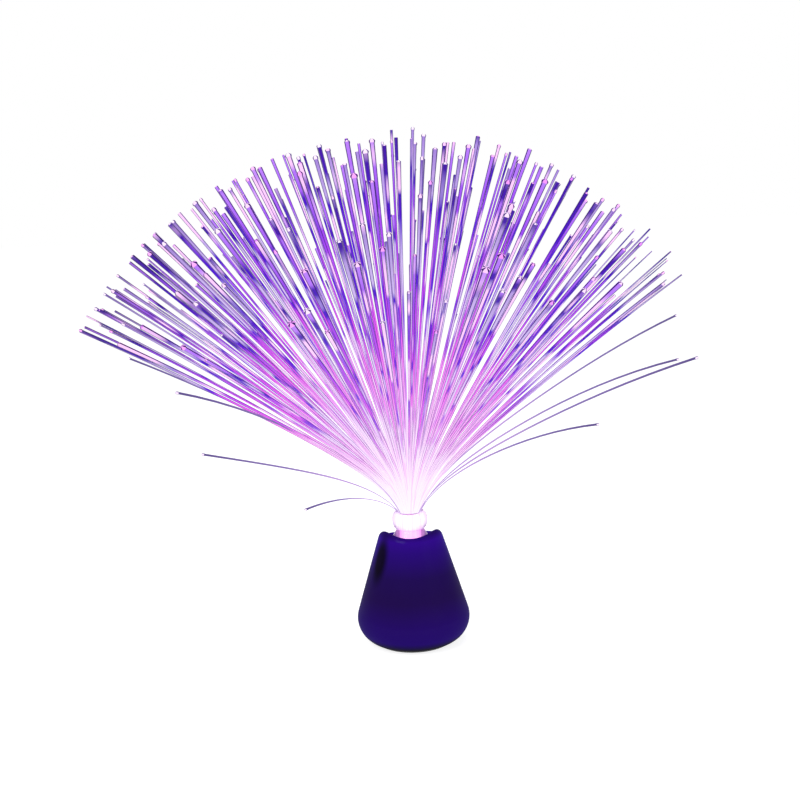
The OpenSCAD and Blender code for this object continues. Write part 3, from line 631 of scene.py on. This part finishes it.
def strand_rows(length, beaded, growth):
    """Shares of a fibre's length at which it has a ring, and the rings' radii."""
    ends = bead_l * bead_places / length
    shares = np.linspace(0, 1, stations) ** crowding
    rows = np.concatenate([shares[shares < 1 - ends[0] * bead_clear], 1 - ends])
    grown = np.clip((rows * length - swell_from) / swell_over, 0, 1)
    radius = fibre_d / 2 + (seen_d - fibre_d) / 2 * grown * grown * (3 - 2 * grown)
    radius *= 1 + growth * rows ** growth_power
    if beaded:
        radius[-len(bead_widths):] *= bead_swell * bead_widths
    return rows, radius


def fibre_group(name, first, last, node):
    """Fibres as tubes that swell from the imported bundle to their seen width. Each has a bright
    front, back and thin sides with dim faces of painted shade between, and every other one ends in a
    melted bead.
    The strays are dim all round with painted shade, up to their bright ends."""
    sides = len(around)
    points, faces, marks, slots = [], [], [], []
    for k in range(first, last):
        loose = k in strays
        own, beaded = (k * own_step) % 1.0, k % 2 == 0 or loose
        if loose:
            own *= faint_share
        rows, radius = strand_rows(strand_facts(k)[1], beaded, strand_growth(k))
        centre, along = strand_path(k, rows)
        # The bright faces turn towards -Y, where the camera stands; the dim faces between are
        # painted shade for a clear fibre's dark edges
        front = np.array([0, -1, 0]) + along[:, 1:2] * along
        front /= np.linalg.norm(front, axis=1)[:, None]
        side = np.cross(along, front)
        ring = (np.cos(around)[None, :, None] * front[:, None, :]
            + np.sin(around)[None, :, None] * side[:, None, :])
        tube = centre[:, None, :] + radius[:, None, None] * ring
        top = centre[-1] + along[-1] * radius[-1] * 0.5
        at, rings = len(points), len(rows)
        points += tube.reshape(-1, 3).tolist() + [top.tolist()]
        shown = np.maximum(rows, stray_start) if loose else rows
        marks += [(share, own) for share in shown for _ in range(sides)] + [(1.0, own)]
        tip_from = rings - (bead_rings if beaded else plain_rings)
        for i in range(rings):
            low, high = at + i * sides, at + (i + 1) * sides
            lit = tip_slot if i >= tip_from else edge_slot if loose else core_slot
            for j in range(sides):
                n = (j + 1) % sides
                if i < rings - 1:
                    faces.append((low + j, low + n, high + n, high + j))
                else:
                    faces.append((low + j, low + n, high))
                slots.append(edge_slot if j % 2 else lit)
    piece = new_piece(name, points, faces, [fibre_look, tip_look, edge_look], "spray")
    mesh = piece.data
    mesh.polygons.foreach_set("material_index", slots)
    layer = mesh.uv_layers.new(name="strand")
    corner = np.zeros(len(mesh.loops), dtype=np.int32)
    mesh.loops.foreach_get("vertex_index", corner)
    layer.data.foreach_set("uv", np.array(marks, float)[corner].ravel())
    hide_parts(node)


def lit_bundle():
    """The bundle's slice in the stem and the bead."""
    bundle_r, edge, crown, sides = bundle_d / 2, 0.3, 0.4, 96
    profile = [(0, stem_z), (bundle_r - edge, stem_z), (bundle_r, stem_z + edge),
        (bundle_r, bundle_top - edge), (bundle_r - edge, bundle_top), (0, bundle_top + crown)]
    points, faces = lathe(profile, sides)
    piece = new_piece("lit_bundle", points, faces, [core_glow()], "spray")
    crease(piece, 50)


fibre_look, tip_look, edge_look = fibre_core(), fibre_tip(), fibre_edge()
base_shell()
for part, name in enumerate(("inner", "middle", "outer")):
    fibre_group("fibre_strands_" + name, part * third, (part + 1) * third, "fibres_" + name)
lit_bundle()

# ------------------------------------------------------------ the other nodes
# Painted glow: the ferrule and collar are given a faint emission for the lamp's light inside them
clear = clear_plastic("clear_ferrule", "fff4ff", "b090c8", "ffc8ff", 0.06)
collar_clear = clear_plastic("clear_collar", "ffd0f2", "c890d0", "ffb8f4", 0.15)
looks = {
    "bottom_cover": plastic("black_cover", (0.012, 0.012, 0.015), 0.5, 0.3),
    "battery_door": plastic("black_door", (0.014, 0.014, 0.017), 0.48, 0.3),
    "battery_carrier": plastic("black_carrier", (0.018, 0.018, 0.021), 0.55, 0.3),
    "cover_screws": metal("plated_screw", (0.6, 0.6, 0.62)),
    "board_screws": metal("board_screw", (0.58, 0.58, 0.6)),
    "switch_body": metal("switch_can", (0.62, 0.62, 0.64)),
    "switch_knob": plastic("black_knob", (0.02, 0.02, 0.022), 0.4, 0.4),
    "reflector": plastic("white_reflector", (0.85, 0.83, 0.86), 0.4, 0.4),
    "switch_wires": plastic("red_wire", (0.5, 0.02, 0.02), 0.4, 0.4),
    "led_lamp": clear_plastic("lamp_resin", "fff0ff", "ffe0ff", "ffd0ff", 1.0),
    "light_collar": collar_clear,
    "fibre_ferrule": clear,
}
nickel = metal("nickel_contact", (0.7, 0.68, 0.64))
for node in ("door_contacts", "door_springs", "top_contacts", "top_spring", "return_strip",
        "led_legs"):
    looks[node] = nickel
for k in (1, 2, 3):
    looks["battery_%d" % k] = cell_jacket("cell_jacket_%d" % k, "battery_%d" % k, k != 2)
looks["resistor"] = banded("resistor_bands", "resistor")
looks["circuit_board"] = board_look()
for node, look in looks.items():
    for slot in frame["nodes"][node].material_slots:
        slot.material = look


# ------------------------------------------------------------ stage, lights and camera
def seen_by_eye(t):
    """1 for rays from the camera, off gloss or through glass."""
    light = t.add("ShaderNodeLightPath")
    most = t.maths("MAXIMUM", light.outputs["Is Camera Ray"], light.outputs["Is Glossy Ray"])
    return t.maths("MAXIMUM", most, light.outputs["Is Transmission Ray"])


def two_faced(t, plain, shown):
    """A surface that lights things with one shader and shows the eye another."""
    return t.surface(t.add("ShaderNodeMixShader",
        {0: seen_by_eye(t), 1: plain.outputs[0], 2: shown.outputs[0]}))


def floor():
    """A table top that lights the lamp as plain pale paint, and looks nearly white."""
    t, half = Tree("pale_floor"), 12
    lit = t.add("ShaderNodeBsdfDiffuse", {"Color": (0.5, 0.5, 0.5)})
    glow = t.add("ShaderNodeEmission", {"Color": white, "Strength": 0.8})
    both = t.add("ShaderNodeAddShader", {0: lit.outputs[0], 1: glow.outputs[0]})
    plain = t.add("ShaderNodeBsdfDiffuse", {"Color": (0.8, 0.8, 0.8)})
    mesh = bpy.data.meshes.new("floor")
    corners = [(-half, -half, 0), (half, -half, 0), (half, half, 0), (-half, half, 0)]
    mesh.from_pydata(corners, [], [(0, 1, 2, 3)])
    mesh.materials.append(two_faced(t, plain, both))
    plane = put("floor", mesh)


def world():
    """A soft studio sky that looks white."""
    t = Tree("studio", world=True)
    soft = t.add("ShaderNodeBackground", {"Color": (0.95, 0.97, 1.0), "Strength": 0.45})
    bright = t.add("ShaderNodeBackground", {"Color": white, "Strength": 1.0})
    scene.world = two_faced(t, soft, bright)


lamp_target = (0, 0, 0.12)


def aim(thing, place, target, roll=0.0):
    forward = (Vector(target) - Vector(place)).normalized()
    turn = forward.to_track_quat("-Z", "Y").to_matrix().to_4x4()
    thing.matrix_world = Matrix.Translation(place) @ turn @ Matrix.Rotation(roll, 4, "Z")


def lamp(name, place, size, watts, mirrored=True):
    data = bpy.data.lights.new(name, "AREA")
    data.shape = "RECTANGLE"
    data.size, data.size_y = size
    data.energy = watts
    light = put(name, data)
    light.visible_glossy = mirrored
    aim(light, place, lamp_target)


floor()
world()
lamp("key", (-0.7, -0.9, 1.0), (0.7, 0.7), 9)
lamp("fill", (0.9, -0.7, 0.6), (0.6, 0.8), 4, mirrored=False)
lamp("top", (0, 0.3, 1.3), (1.0, 1.0), 6)

eye_place, eye_target, eye_roll = (-0.0031, -0.72, 0.28), (-0.0031, 0, 0.1588), -2.38
eye = bpy.data.cameras.new("camera")
eye.sensor_width, eye.lens = 36, 51.9
eye.clip_start, eye.clip_end = 0.01, 50
camera = put("camera", eye)
aim(camera, eye_place, eye_target, math.radians(eye_roll))
scene.camera = camera
scene.view_settings.view_transform = "Standard"
